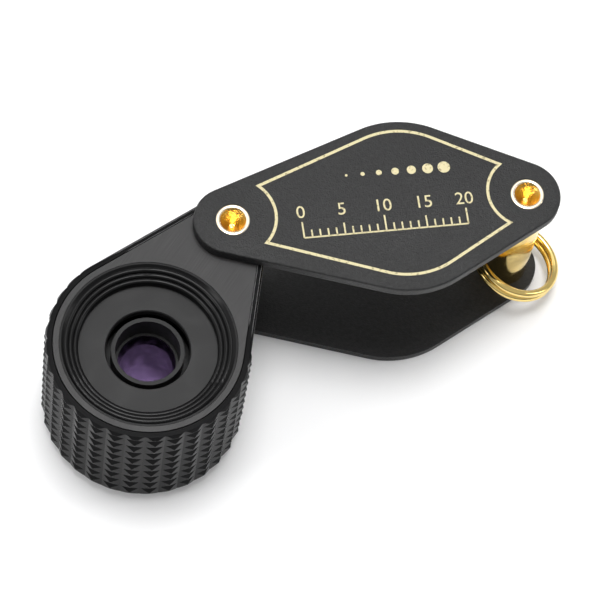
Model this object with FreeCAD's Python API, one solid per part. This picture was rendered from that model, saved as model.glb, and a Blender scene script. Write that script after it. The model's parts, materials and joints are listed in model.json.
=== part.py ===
import FreeCAD, Part
import math
import os

os.makedirs("parts", exist_ok=True)

# A folding pocket loupe. Lengths are millimetres.
# X runs along the case from the pivot post to the ring post, Z is up, and the
# origin is the middle of the lower cover's outer face, half way between the posts.
# The lens head is drawn swung out, as it is held in use.

# Case
post_pitch = 36.0
case_depth = 21.15

# Covers: each is the hull of a small circle at either end and a belly circle
cover_thickness = 1.3
pivot_end_radius = 4.4
pivot_end_reach = 4.73
ring_end_radius = 4.5
ring_end_reach = 4.08
belly_radius = 11.35
belly_offset = 2.7
cover_edge_radius = 0.25

# Posts: shouldered pins with a tenon through each cover, spread into a countersink
post_radius = 2.85
tenon_radius = 1.7
rivet_rim_radius = 2.05
rivet_mouth_radius = 1.6
rivet_spread_depth = 0.5
rivet_bead_height = 0.06
rivet_recess_depth = 1.7
rivet_floor_radius = 0.3
seat_clearance = 0.02

# Friction washers on the pivot post, between the head and the covers
head_gap = 0.25
washer_clearance = 0.03
washer_width = 0.95

# Lens head: where it stands
lens_offset = 18.55
head_angle = -129.4
pivot_clearance = 0.04

# Barrel and the retaining rings inside it
barrel_radius = 4.36
barrel_wall = 0.5
barrel_recess = 2.38
barrel_flange_width = 0.9
barrel_flange_thickness = 0.8
retainer_width = 0.34
retainer_thickness = 0.45
retainer_touch = 0.01

# Two cemented doublets back to back, with a spacer between them
lens_clearance = 0.03
crown_outer_curve = 6.0
crown_inner_curve = 9.0
crown_edge = 0.6
flint_edge = 1.5
cement_gap = 0.01
spacer_width = 0.6
spacer_length = 1.05

# Stop disc round the barrel
barrel_air_gap = 0.65
disc_thickness = 1.0
disc_edge_break = 0.12
disc_seat_width = 0.7
web_thickness = 6.05

# Trim ring: a funnel of rounded ridges that leads down to the stop disc
funnel_bottom_radius = 8.26
funnel_ridges_width = 1.69
funnel_mouth_width = 0.35
funnel_mouth_depth = 0.3
funnel_depth = 1.88
funnel_foot_height = 0.54
funnel_ridges = 3
ridge_height = 0.2
trim_wall = 0.24

# Face plates let into both faces of the head
plate_rim_width = 0.7
plate_thickness = 0.6
plate_pivot_radius = 3.63
plate_gap = 0.1
plate_pivot_gap = 0.25

# Knurl round the head: upright grooves crossed by turned rows
head_rim_wall = 0.72
knurl_proud = 0.3
groove_depth = 0.45
row_depth = 0.4
row_pitch = 1.87
first_row_height = 0.97
grooves_per_turn = 32
knurl_turn = 2.6
shoulder_width = 0.25
shoulder_drop = 0.57
flank_chamfer = 0.25

# Split ring: two turns of round wire, leaning on the ring post
ring_bore_radius = 4.72
ring_wire_radius = 0.475
ring_turn_gap = 0.04
ring_post_gap = 0.5
ring_floor_gap = 0.1
ring_angle = -45.0
ring_tilt = 19.3
ring_tilt_angle = 19.0
ring_crossing_angle = 150.0
ring_crossing_half_sweep = 17.0
ring_end_half_sweep = 24.0

# Worked out from the sizes above
pivot_x = -post_pitch / 2
ring_x = post_pitch / 2
head_bottom = cover_thickness + head_gap
head_height = case_depth - 2 * head_bottom
middle = head_height / 2
cavity_depth = middle - web_thickness / 2
lens_depth = middle - spacer_length / 2 - flint_edge - crown_edge
barrel_bore_radius = barrel_radius - barrel_wall
lens_radius = barrel_bore_radius - lens_clearance
disc_radius = funnel_bottom_radius + disc_seat_width
disc_bottom_depth = funnel_depth + disc_thickness
funnel_top_radius = funnel_bottom_radius + funnel_ridges_width
trim_radius = funnel_top_radius + funnel_mouth_width + trim_wall
plate_hole_radius = trim_radius + seat_clearance
plate_radius = plate_hole_radius + plate_rim_width
flank_radius = plate_radius + plate_gap + head_rim_wall
flank_pivot_radius = plate_pivot_radius + plate_gap + head_rim_wall
knurl_radius = flank_radius + knurl_proud
groove_radius = knurl_radius - groove_depth
washer_thickness = head_gap - 2 * washer_clearance

UP = FreeCAD.Vector(0, 0, 1)
ORIGIN = FreeCAD.Vector(0, 0, 0)


def polar(x, y, radius, degrees, z=0):
    """A point on a circle round (x, y)."""
    angle = math.radians(degrees)
    return FreeCAD.Vector(x + radius * math.cos(angle), y + radius * math.sin(angle), z)


def arc(start, through, end):
    return Part.Arc(start, through, end).toShape()


def line(start, end):
    return Part.LineSegment(start, end).toShape()


def hull_edges(circles, close_arcs=True):
    """Tangent lines and arcs round circles (x, y, radius), counter-clockwise.

    Without close_arcs the first circle's arc is replaced by its chord.
    """
    normals = []
    for index, (x, y, radius) in enumerate(circles):
        next_x, next_y, next_radius = circles[(index + 1) % len(circles)]
        span = math.hypot(next_x - x, next_y - y)
        heading = math.degrees(math.atan2(next_y - y, next_x - x))
        normals.append(heading - math.degrees(math.acos((radius - next_radius) / span)))
    edges = []
    for index, (x, y, radius) in enumerate(circles):
        start = normals[index - 1]
        end = normals[index]
        while end < start:
            end += 360
        first, last = polar(x, y, radius, start), polar(x, y, radius, end)
        if index == 0 and not close_arcs:
            edges.append(line(first, last))
        else:
            edges.append(arc(first, polar(x, y, radius, (start + end) / 2), last))
        next_x, next_y, next_radius = circles[(index + 1) % len(circles)]
        edges.append(line(last, polar(next_x, next_y, next_radius, end)))
    return edges


def prism(edges, height):
    face = Part.Face(Part.Wire(edges))
    return face.extrude(UP * height)


def turned(points):
    """A solid of revolution about Z from (radius, z) corners."""
    corners = [FreeCAD.Vector(radius, 0, z) for radius, z in points]
    face = Part.Face(Part.makePolygon(corners + corners[:1]))
    return face.revolve(ORIGIN, UP, 360)


def turned_edges(edges):
    """A solid of revolution about Z from edges in the XZ plane."""
    return Part.Face(Part.Wire(edges)).revolve(ORIGIN, UP, 360)


def at(x, z):
    return FreeCAD.Vector(x, 0, z)


def sag(curve, radius):
    """How far a sphere falls from its crown to a given radius."""
    return curve - math.sqrt(curve ** 2 - radius ** 2)


def flipped(shape, plane_z):
    """The same piece the other way up, mirrored in a level plane."""
    return shape.mirror(FreeCAD.Vector(0, 0, plane_z), UP)


def write(name, shape):
    solid = shape.removeSplitter()
    if len(solid.Solids) != 1:
        raise ValueError(name + " is not one solid")
    solid = solid.Solids[0]
    if not solid.isValid():
        raise ValueError(name + " is not valid")
    solid.exportStep("parts/" + name + ".step")
    print("%-24s volume %9.3f" % (name, solid.Volume))


# Covers
def rivet_seat():
    """The countersunk hole that a tenon fills, from the outer face at z = 0."""
    rim = rivet_rim_radius + seat_clearance
    hole = tenon_radius + seat_clearance
    return turned([
        (0, 0), (rim, 0), (rim, rivet_bead_height), (hole, rivet_spread_depth),
        (hole, cover_thickness), (0, cover_thickness),
    ])


def lower_cover():
    outline = hull_edges([
        (ring_x + ring_end_reach - ring_end_radius, 0, ring_end_radius),
        (belly_offset, 0, belly_radius),
        (pivot_x - pivot_end_reach + pivot_end_radius, 0, pivot_end_radius),
        (belly_offset, 0, belly_radius),
    ])
    plate = prism(outline, cover_thickness)
    outer_edges = [edge for edge in plate.Edges if edge.BoundBox.ZMax < cover_thickness / 2]
    plate = plate.makeFillet(cover_edge_radius, outer_edges)
    for x in (pivot_x, ring_x):
        seat = rivet_seat()
        seat.translate(FreeCAD.Vector(x, 0, 0))
        plate = plate.cut(seat)
    return plate


# Posts
def post():
    """A shouldered post with a spread, hollowed tenon at both ends, its axis on Z."""
    bead_middle = (rivet_mouth_radius + rivet_rim_radius) / 2
    corners = [
        (0, rivet_recess_depth), (rivet_floor_radius, rivet_recess_depth),
        (rivet_mouth_radius, rivet_bead_height),
    ]
    edges = [line(at(*corners[0]), at(*corners[1])), line(at(*corners[1]), at(*corners[2]))]
    edges.append(arc(at(*corners[2]), at(bead_middle, 0), at(rivet_rim_radius, rivet_bead_height)))
    side = [
        (rivet_rim_radius, rivet_bead_height), (tenon_radius, rivet_spread_depth),
        (tenon_radius, cover_thickness), (post_radius, cover_thickness),
        (post_radius, case_depth / 2), (0, case_depth / 2), (0, rivet_recess_depth),
    ]
    for start, end in zip(side, side[1:]):
        edges.append(line(at(*start), at(*end)))
    half = turned_edges(edges)
    return half.fuse(flipped(half, case_depth / 2))


def friction_washer():
    """A thin washer round the pivot post, its lower face at z = 0."""
    inner = post_radius + seat_clearance
    outer = post_radius + washer_width
    return turned([
        (inner, 0), (outer, 0), (outer, washer_thickness), (inner, washer_thickness),
    ])


# Head body. It is drawn with the pivot at the origin, the lens axis on +X and its
# lower face at z = 0, and swung to its place afterwards.
def head_outline(lens_end_radius, pivot_end, close_arcs=True):
    return hull_edges([(lens_offset, 0, lens_end_radius), (0, 0, pivot_end)], close_arcs)


def ridged_prism():
    """The head's round end with upright V grooves, as far as the flanks leave it."""
    step = 360 / grooves_per_turn
    lean = math.degrees(math.asin((flank_radius - flank_pivot_radius) / lens_offset))
    ridges_each_side = int((90 + lean) / step)
    corners = []
    for index in range(-ridges_each_side, ridges_each_side + 1):
        ridge = knurl_turn + index * step
        corners.append(polar(lens_offset, 0, groove_radius, ridge - step / 2))
        corners.append(polar(lens_offset, 0, knurl_radius, ridge))
    corners.append(polar(lens_offset, 0, groove_radius, ridge + step / 2))
    edges = [line(start, end) for start, end in zip(corners, corners[1:])]
    edges.append(arc(corners[-1], polar(lens_offset, 0, groove_radius, knurl_turn + 180), corners[0]))
    return prism(edges, head_height)


def row_radius(height):
    """Radius of the turned rows at a height: crests are row_pitch apart."""
    distance = (height - first_row_height) / row_pitch
    phase = distance - math.floor(distance)
    fall = 2 * min(phase, 1 - phase)
    return knurl_radius - row_depth * fall


def turned_rows():
    """A round blank with level V rows and a sloped shoulder at both faces."""
    heights = [shoulder_drop]
    half_pitch = row_pitch / 2
    last_height = head_height - shoulder_drop
    height = first_row_height
    while height < last_height:
        if height > shoulder_drop:
            heights.append(height)
        height += half_pitch
    heights.append(last_height)
    bottom_radius = row_radius(shoulder_drop) - shoulder_width
    top_radius = row_radius(last_height) - shoulder_width
    points = [(0, 0), (bottom_radius, 0)]
    points += [(row_radius(height), height) for height in heights]
    points += [(top_radius, head_height), (0, head_height)]
    blank = turned(points)
    blank.translate(FreeCAD.Vector(lens_offset, 0, 0))
    return blank


def flank_block():
    """The plain tapered block between the round end and the pivot."""
    block = prism(head_outline(flank_radius, flank_pivot_radius, close_arcs=False), head_height)
    chord_x = block.BoundBox.XMax
    rims = []
    for edge in block.Edges:
        box = edge.BoundBox
        level = box.ZLength < flank_chamfer
        if level and box.XMin < chord_x - flank_chamfer:
            rims.append(edge)
    return block.makeChamfer(flank_chamfer, rims)


def head_bores():
    """Everything that is bored out round the lens axis, for both faces."""
    trim_bore = trim_radius + seat_clearance
    disc_bore = disc_radius + seat_clearance
    levels = [
        (trim_bore, 0), (trim_bore, funnel_depth), (disc_bore, funnel_depth),
        (disc_bore, disc_bottom_depth), (funnel_bottom_radius, disc_bottom_depth),
        (funnel_bottom_radius, cavity_depth), (barrel_radius + seat_clearance, cavity_depth),
    ]
    above = [(radius, head_height - depth) for radius, depth in reversed(levels)]
    tool = turned([(0, 0)] + levels + above + [(0, head_height)])
    tool.translate(FreeCAD.Vector(lens_offset, 0, 0))
    return tool


def head_body():
    body = ridged_prism().common(turned_rows())
    body = body.fuse(flank_block())
    pocket = prism(head_outline(plate_radius + plate_gap, plate_pivot_radius + plate_gap), plate_thickness)
    body = body.cut(pocket)
    body = body.cut(flipped(pocket, middle))
    body = body.cut(head_bores())
    pivot_hole = Part.makeCylinder(post_radius + pivot_clearance, head_height)
    return body.cut(pivot_hole)


def face_plate():
    """The flat teardrop plate, its outer face at z = 0."""
    plate = prism(head_outline(plate_radius, plate_pivot_radius), plate_thickness)
    lens_hole = Part.makeCylinder(plate_hole_radius, plate_thickness, FreeCAD.Vector(lens_offset, 0, 0))
    pivot_hole = Part.makeCylinder(post_radius + plate_pivot_gap, plate_thickness)
    return plate.cut(lens_hole).cut(pivot_hole)


# Pieces round the lens axis. They are drawn on Z with the head's face at z = 0 and
# depth counted upwards, so each is the lower one, and the upper one is its mirror.
def trim_ring():
    """A funnel whose slope is a row of rounded ridges with sharp grooves between."""
    top = at(funnel_top_radius, funnel_mouth_depth)
    foot = at(funnel_bottom_radius, funnel_depth - funnel_foot_height)
    slope = foot - top
    inward = FreeCAD.Vector(slope.z, 0, -slope.x).normalize() * -ridge_height
    grooves = [top + slope * (index / funnel_ridges) for index in range(funnel_ridges + 1)]
    edges = [
        line(at(funnel_bottom_radius, funnel_depth), at(trim_radius, funnel_depth)),
        line(at(trim_radius, funnel_depth), at(trim_radius, 0)),
        line(at(trim_radius, 0), at(funnel_top_radius + funnel_mouth_width, 0)),
        line(at(funnel_top_radius + funnel_mouth_width, 0), top),
    ]
    for start, end in zip(grooves, grooves[1:]):
        edges.append(arc(start, (start + end) * 0.5 + inward, end))
    edges.append(line(foot, at(funnel_bottom_radius, funnel_depth)))
    return turned_edges(edges)


def stop_disc():
    hole = barrel_radius + barrel_air_gap
    return turned([
        (hole + disc_edge_break, funnel_depth), (disc_radius, funnel_depth),
        (disc_radius, disc_bottom_depth), (hole, disc_bottom_depth),
        (hole, funnel_depth + disc_edge_break),
    ])


def lens_barrel():
    """The tube that holds the lenses, with the flange that seats on the web."""
    top = head_height - barrel_recess
    flange_bottom = head_height - cavity_depth
    flange_top = flange_bottom + barrel_flange_thickness
    flange = barrel_radius + barrel_flange_width
    return turned([
        (barrel_bore_radius, barrel_recess), (barrel_radius, barrel_recess),
        (barrel_radius, flange_bottom), (flange, flange_bottom), (flange, flange_top),
        (barrel_radius, flange_top), (barrel_radius, top), (barrel_bore_radius, top),
    ])


def retainer_ring():
    """The ring that holds the lenses down, resting on the crown lens."""
    inner = lens_radius - retainer_width
    seat = lens_depth - sag(crown_outer_curve, lens_radius) + sag(crown_outer_curve, inner) - retainer_touch
    top = seat - retainer_thickness
    return turned([(inner, top), (lens_radius, top), (lens_radius, seat), (inner, seat)])


def crown_lens():
    """The outer, double convex element of a doublet."""
    inner_edge = lens_depth + crown_edge
    outer_crown = lens_depth - sag(crown_outer_curve, lens_radius)
    inner_crown = inner_edge + sag(crown_inner_curve, lens_radius)
    half = lens_radius / 2
    inner_half = inner_crown - sag(crown_inner_curve, half)
    outer_half = outer_crown + sag(crown_outer_curve, half)
    return turned_edges([
        line(at(0, outer_crown), at(0, inner_crown)),
        arc(at(0, inner_crown), at(half, inner_half), at(lens_radius, inner_edge)),
        line(at(lens_radius, inner_edge), at(lens_radius, lens_depth)),
        arc(at(lens_radius, lens_depth), at(half, outer_half), at(0, outer_crown)),
    ])


def flint_lens():
    """The inner element, hollow to fit the crown lens and flat on its other side."""
    edge = lens_depth + crown_edge + cement_gap
    hollow = edge + sag(crown_inner_curve, lens_radius)
    flat = lens_depth + crown_edge + flint_edge
    half = lens_radius / 2
    return turned_edges([
        line(at(0, hollow), at(0, flat)),
        line(at(0, flat), at(lens_radius, flat)),
        line(at(lens_radius, flat), at(lens_radius, edge)),
        arc(at(lens_radius, edge), at(half, hollow - sag(crown_inner_curve, half)), at(0, hollow)),
    ])


def lens_spacer():
    start = middle - spacer_length / 2
    end = middle + spacer_length / 2
    inner = lens_radius - spacer_width
    return turned([(inner, start), (lens_radius, start), (lens_radius, end), (inner, end)])


# Split ring
def wire_section(degrees, level):
    """The wire's round section at an angle round the ring, square to the ring."""
    angle = math.radians(degrees)
    mean = ring_bore_radius + ring_wire_radius
    normal = FreeCAD.Vector(-math.sin(angle), math.cos(angle), 0)
    centre = FreeCAD.Vector(mean * math.cos(angle), mean * math.sin(angle), level)
    return Part.Wire(Part.Circle(centre, normal, ring_wire_radius).toShape())


def split_ring():
    """Two level turns joined by a short crossing, with the two cut ends beside it."""
    level = ring_wire_radius + ring_turn_gap / 2
    turn_sweep = 360 - ring_end_half_sweep - ring_crossing_half_sweep
    lower_start = ring_end_half_sweep
    lower = Part.Face(wire_section(lower_start, -level)).revolve(ORIGIN, UP, turn_sweep)
    upper = Part.Face(wire_section(ring_crossing_half_sweep, level)).revolve(ORIGIN, UP, turn_sweep)
    sections = []
    sections_each_side = 3
    for index in range(-sections_each_side, sections_each_side + 1):
        share = index / sections_each_side
        rise = math.sin(share * math.pi / 2)
        sections.append(wire_section(share * ring_crossing_half_sweep, level * rise))
    crossing = Part.makeLoft(sections, True, False)
    ring = lower.fuse(crossing).fuse(upper)
    ring.rotate(ORIGIN, UP, ring_crossing_angle - ring_angle)

    # It leans: one side rests over the lower cover, the other is raised
    low_side = math.radians(ring_tilt_angle - ring_angle - 90)
    tilt_axis = FreeCAD.Vector(math.cos(low_side), math.sin(low_side), 0)
    ring.rotate(ORIGIN, tilt_axis, -ring_tilt)
    lean = math.radians(ring_tilt)
    mean = ring_bore_radius + ring_wire_radius
    lift = mean * math.sin(lean) + level * math.cos(lean) + ring_wire_radius
    slack = ring_bore_radius - post_radius - ring_post_gap
    ring.translate(FreeCAD.Vector(slack, 0, cover_thickness + ring_floor_gap + lift))
    ring.rotate(ORIGIN, UP, ring_angle)
    ring.translate(FreeCAD.Vector(ring_x, 0, 0))
    return ring


def place_in_head(shape):
    """Lift a piece of the head to its level and swing it out round the pivot."""
    placed = shape.copy()
    placed.translate(FreeCAD.Vector(0, 0, head_bottom))
    placed.rotate(ORIGIN, UP, head_angle)
    placed.translate(FreeCAD.Vector(pivot_x, 0, 0))
    return placed


def on_lens_axis(shape):
    moved = shape.copy()
    moved.translate(FreeCAD.Vector(lens_offset, 0, 0))
    return place_in_head(moved)


def build_case():
    cover = lower_cover()
    write("lower_cover", cover)
    write("upper_cover", flipped(cover, case_depth / 2))
    for name, x in (("pivot_post", pivot_x), ("ring_post", ring_x)):
        pin = post()
        pin.translate(FreeCAD.Vector(x, 0, 0))
        write(name, pin)
    washer = friction_washer()
    washer.translate(FreeCAD.Vector(pivot_x, 0, cover_thickness + washer_clearance))
    write("lower_friction_washer", washer)
    write("upper_friction_washer", flipped(washer, case_depth / 2))


def build_head():
    write("head_body", place_in_head(head_body()))
    plate = face_plate()
    write("lower_face_plate", place_in_head(plate))
    write("upper_face_plate", place_in_head(flipped(plate, middle)))
    write("lens_barrel", on_lens_axis(lens_barrel()))
    write("lens_spacer", on_lens_axis(lens_spacer()))
    paired = {
        "trim_ring": trim_ring,
        "stop_disc": stop_disc,
        "retainer_ring": retainer_ring,
        "crown_lens": crown_lens,
        "flint_lens": flint_lens,
    }
    for name, make in paired.items():
        piece = make()
        write("lower_" + name, on_lens_axis(piece))
        write("upper_" + name, on_lens_axis(flipped(piece, middle)))


build_case()
build_head()
write("split_ring", split_ring())
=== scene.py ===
# %% [markdown]
# A folding pocket loupe. A knurled lens head swings out of a flat case, and a small
# split ring hangs on the post at the case's other end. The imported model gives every
# rigid piece at its real size, in metres, and nothing here moves or resizes one. This
# lesson lights those pieces, gives each its finish and adds what is only a surface.

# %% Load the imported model
import json
import math

import bmesh
import bpy
from mathutils import Matrix, Vector


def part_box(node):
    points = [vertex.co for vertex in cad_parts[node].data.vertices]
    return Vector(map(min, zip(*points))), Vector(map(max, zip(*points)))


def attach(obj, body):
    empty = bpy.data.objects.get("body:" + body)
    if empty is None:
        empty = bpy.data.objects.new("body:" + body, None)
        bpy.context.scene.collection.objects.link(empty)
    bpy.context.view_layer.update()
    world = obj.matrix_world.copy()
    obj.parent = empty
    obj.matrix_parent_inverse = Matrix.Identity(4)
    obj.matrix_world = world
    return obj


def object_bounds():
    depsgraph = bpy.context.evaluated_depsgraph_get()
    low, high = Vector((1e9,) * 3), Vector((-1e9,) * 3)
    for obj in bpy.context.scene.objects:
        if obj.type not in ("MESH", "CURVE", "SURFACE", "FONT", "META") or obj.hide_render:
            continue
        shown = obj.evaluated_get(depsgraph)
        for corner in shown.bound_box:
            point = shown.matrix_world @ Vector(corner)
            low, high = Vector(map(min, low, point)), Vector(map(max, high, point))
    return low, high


MM = 0.001
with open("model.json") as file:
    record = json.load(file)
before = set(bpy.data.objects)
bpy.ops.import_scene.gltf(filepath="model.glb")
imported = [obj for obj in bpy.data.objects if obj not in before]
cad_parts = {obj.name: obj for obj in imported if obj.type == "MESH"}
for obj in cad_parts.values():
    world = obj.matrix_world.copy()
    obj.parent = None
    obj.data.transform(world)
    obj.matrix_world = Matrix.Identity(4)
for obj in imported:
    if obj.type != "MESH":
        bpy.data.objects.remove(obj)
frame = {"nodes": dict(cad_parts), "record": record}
nodes = frame["nodes"]
cad_low, cad_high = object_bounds()
print("pieces:", len(nodes), "box in mm:", [round(v / MM, 2) for v in (*cad_low, *cad_high)])

# %% [markdown]
# The camera stands high above the near side of the case, turned a little about its own
# line of sight. A long focal length keeps the covers' edges nearly parallel. `to_track_quat`
# aims it, and a turn about its own Z adds the roll, which an aim alone can't give.

# %% Camera
CAMERA_PLACE = Vector((-0.06349, -0.16265, 0.36165))
CAMERA_AIM = Vector((-0.00986, -0.00656, 0.01058))
CAMERA_ROLL = math.radians(12.09)
FOCAL_LENGTH_MM = 190.94
SENSOR_WIDTH_MM = 36.0
NEAREST_SEEN = 0.01
FURTHEST_SEEN = 10.0

camera_data = bpy.data.cameras.new("camera")
camera_data.lens = FOCAL_LENGTH_MM
camera_data.sensor_width = SENSOR_WIDTH_MM
camera_data.clip_start = NEAREST_SEEN
camera_data.clip_end = FURTHEST_SEEN
camera = bpy.data.objects.new("camera", camera_data)
bpy.context.scene.collection.objects.link(camera)
level = (CAMERA_AIM - CAMERA_PLACE).to_track_quat("-Z", "Y").to_matrix()
turn = level @ Matrix.Rotation(CAMERA_ROLL, 3, "Z")
camera.matrix_world = Matrix.Translation(CAMERA_PLACE) @ turn.to_4x4()
bpy.context.scene.camera = camera
print("camera is", round((CAMERA_AIM - CAMERA_PLACE).length, 3), "m from the case")

# %% [markdown]
# Every material and every Geometry Nodes tree below is built from a few small calls.
# `add` makes a node, `feed` gives a socket a value or a link, and `calc` is one step of
# arithmetic. Wiring by name keeps a tree readable as a list of steps.

# %% Helpers for node trees
def feed(tree, socket, value):
    """Link a socket to another node's socket, or set its plain value; a colour gets its alpha."""
    if isinstance(value, bpy.types.NodeSocket):
        tree.links.new(value, socket)
    elif socket.type == "RGBA":
        socket.default_value = (*value, 1)
    else:
        socket.default_value = value


def add(tree, kind, inputs=None, **settings):
    """A new node in a tree, with its settings, and its inputs by name or number."""
    made = tree.nodes.new(kind)
    for name, value in settings.items():
        setattr(made, name, value)
    for name, value in (inputs or {}).items():
        feed(tree, made.inputs[name], value)
    return made


def calc(tree, operation, *values):
    """One arithmetic step; gives the socket with its result."""
    return add(tree, "ShaderNodeMath", dict(enumerate(values)), operation=operation).outputs[0]


print("helpers:", [helper.__name__ for helper in (feed, add, calc)])

# %% [markdown]
# The floor is a plain pale sheet. It is lit like everything else, so it catches the
# object's soft shadow. A weak glow that only camera and mirror rays see lifts it to
# white without throwing more light on the object.

# %% Floor
FLOOR_HALF = 3.0
FLOOR_COLOR = (0.9, 0.9, 0.905)
FLOOR_ROUGHNESS = 0.7
FLOOR_SHINE = 0.1
FLOOR_GLOW = 0.04
WHITE = (1, 1, 1)

floor_mesh = bpy.data.meshes.new("floor")
corners = [(-1, -1), (1, -1), (1, 1), (-1, 1)]
floor_mesh.from_pydata([(x * FLOOR_HALF, y * FLOOR_HALF, 0) for x, y in corners], [], [(0, 1, 2, 3)])
floor = bpy.data.objects.new("floor", floor_mesh)
bpy.context.scene.collection.objects.link(floor)

floor_white = bpy.data.materials.new("floor_white")
floor_white.use_nodes = True
floor_tree = floor_white.node_tree
floor_shader = floor_tree.nodes["Principled BSDF"]
ray = add(floor_tree, "ShaderNodeLightPath").outputs
seen = calc(floor_tree, "MAXIMUM", ray["Is Camera Ray"], ray["Is Glossy Ray"])
feed(floor_tree, floor_shader.inputs["Base Color"], FLOOR_COLOR)
feed(floor_tree, floor_shader.inputs["Roughness"], FLOOR_ROUGHNESS)
feed(floor_tree, floor_shader.inputs["Specular IOR Level"], FLOOR_SHINE)
feed(floor_tree, floor_shader.inputs["Emission Color"], WHITE)
feed(floor_tree, floor_shader.inputs["Emission Strength"], calc(floor_tree, "MULTIPLY", seen, FLOOR_GLOW))
floor_mesh.materials.append(floor_white)
print("floor is", 2 * FLOOR_HALF, "m wide")

# %% [markdown]
# The light is a white studio tent with a bright soft box nearly overhead. High light
# keeps the shadow close to the object's foot. A dimmer panel behind the object is what
# the flat covers mirror, and another stands on the left. The tent's other walls are dim
# and the photographer's side is dark, because polished metal only looks like metal when
# the room has bright and dark parts. The world's shader reads a ray's own direction, so
# each panel is a soft-edged patch on the sky, and a mask mixes it over what lies behind.

# %% Studio tent
# Each light has the azimuth and height of its middle, the angles from there at which it
# ends and is full, all in degrees, and its brightness.
BOX = (85, 83, 16, 6, 14.5)
BACK_PANEL = (71, 63, 27, 12, 1.4)
LEFT_PANEL = (155, 38, 42, 16, 1.3)
WALL_LIGHT = 0.52
FRONT_LIGHT = 0.05
# The dark front has an azimuth in degrees. Its edges are cosines of the angle to that
# side, where it starts and is full, and to the zenith.
FRONT_AZIMUTH = -109
FRONT_EDGE = (0.1, 0.75)
FRONT_TOP = (0.44, 0.22)
UP = Vector((0, 0, 1))
# A Mix node has its own sockets for each kind of data: two inputs and an output.
MIX_SOCKETS = {"FLOAT": (2, 3, 0), "VECTOR": (4, 5, 1), "RGBA": (6, 7, 2)}


def heading(azimuth, height):
    """The unit vector towards an azimuth and a height, in degrees."""
    turn_to, rise = math.radians(azimuth), math.radians(height)
    return Vector((math.cos(rise) * math.cos(turn_to), math.cos(rise) * math.sin(turn_to), math.sin(rise)))


def nearness(tree, direction, towards):
    """The cosine of the angle between two directions."""
    both = {0: direction, 1: towards}
    return add(tree, "ShaderNodeVectorMath", both, operation="DOT_PRODUCT").outputs["Value"]


def ranged(tree, value, low, high, to_low=0.0, to_high=1.0):
    """A value's range from low to high, spread softly over another range and kept inside it."""
    ends = {"Value": value, "From Min": low, "From Max": high, "To Min": to_low, "To Max": to_high}
    return add(tree, "ShaderNodeMapRange", ends, interpolation_type="SMOOTHSTEP").outputs["Result"]


def mixed(tree, factor, first, second, kind="FLOAT"):
    """Between two numbers, vectors or colours, by a mask."""
    first_socket, second_socket, result_socket = MIX_SOCKETS[kind]
    inputs = {"Factor": factor, first_socket: first, second_socket: second}
    return add(tree, "ShaderNodeMix", inputs, data_type=kind).outputs[result_socket]


world = bpy.data.worlds.new("studio_tent")
bpy.context.scene.world = world
world.use_nodes = True
tent = world.node_tree
direction = add(tent, "ShaderNodeTexCoord").outputs["Generated"]
front = ranged(tent, nearness(tent, direction, heading(FRONT_AZIMUTH, 0)), *FRONT_EDGE)
below_top = ranged(tent, nearness(tent, direction, UP), *FRONT_TOP)
lit = mixed(tent, calc(tent, "MULTIPLY", front, below_top), WALL_LIGHT, FRONT_LIGHT)
for azimuth, height, end, full, brightness in (LEFT_PANEL, BACK_PANEL, BOX):
    near = nearness(tent, direction, heading(azimuth, height))
    inside = ranged(tent, near, math.cos(math.radians(end)), math.cos(math.radians(full)))
    lit = mixed(tent, inside, lit, brightness)
looked_at = add(tent, "ShaderNodeLightPath").outputs["Is Camera Ray"]
background = tent.nodes["Background"]
feed(tent, background.inputs["Color"], WHITE)
feed(tent, background.inputs["Strength"], mixed(tent, looked_at, lit, 1.0))
print("soft box", BOX[-1], "walls", WALL_LIGHT, "front", FRONT_LIGHT)

# %% [markdown]
# Two small soft lamps stand left and right. They draw the long highlights along the
# post and the ring. A lamp's strength is written as the brightness of its surface, so
# changing its size doesn't change how bright its mirror image is. The Standard view
# transform then shows a colour about as it is written.

# %% Lamps
LAMP_PLACES = {"lamp_left": (-0.5, -0.12, 0.3), "lamp_right": (0.55, -0.05, 0.32)}
LAMP_WIDTH = 0.12
LAMP_HEIGHT = 0.3
LAMP_BRIGHTNESS = 4.0
MIDDLE = (cad_low + cad_high) / 2

for name, place in LAMP_PLACES.items():
    lamp_data = bpy.data.lights.new(name, "AREA")
    lamp_data.shape = "RECTANGLE"
    lamp_data.size = LAMP_WIDTH
    lamp_data.size_y = LAMP_HEIGHT
    lamp_data.energy = LAMP_BRIGHTNESS * LAMP_WIDTH * LAMP_HEIGHT * math.pi
    lamp = bpy.data.objects.new(name, lamp_data)
    bpy.context.scene.collection.objects.link(lamp)
    lamp.location = place
    lamp.rotation_euler = (MIDDLE - Vector(place)).to_track_quat("-Z", "Y").to_euler()
bpy.context.scene.view_settings.view_transform = "Standard"
print("lamps:", list(LAMP_PLACES))

# %% [markdown]
# A CAD mesh is loose triangles, and each is shaded flat. On a polished post that shows
# as facets. This small Geometry Nodes tree joins the triangles' corners, shades them
# smooth and keeps every edge sharp that really is one. As a modifier it leaves the
# CAD mesh itself untouched. The head gets a smaller limit, because the knurl's end facets
# meet its flat flanks at a low angle and would otherwise shade streaks across them.

# %% Shading of the CAD pieces
SHARP_ANGLE = math.radians(24)
HEAD_SHARP_ANGLE = math.radians(10)
JOIN_DISTANCE = 0.0005 * MM
FLOAT = "NodeSocketFloat"
GEOMETRY = "NodeSocketGeometry"


def new_group(kind, name, inputs, outputs):
    """An empty node group: its tree, its input sockets and its output sockets."""
    tree = bpy.data.node_groups.new(name, kind)
    for in_out, sockets in (("INPUT", inputs), ("OUTPUT", outputs)):
        for socket_name, socket_type in sockets.items():
            tree.interface.new_socket(socket_name, in_out=in_out, socket_type=socket_type)
    return tree, add(tree, "NodeGroupInput").outputs, add(tree, "NodeGroupOutput").inputs


def input_keys(tree):
    """A modifier knows a tree's inputs by identifier: this finds each one by its name."""
    return {item.name: item.identifier for item in tree.interface.items_tree if item.in_out == "INPUT"}


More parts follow.
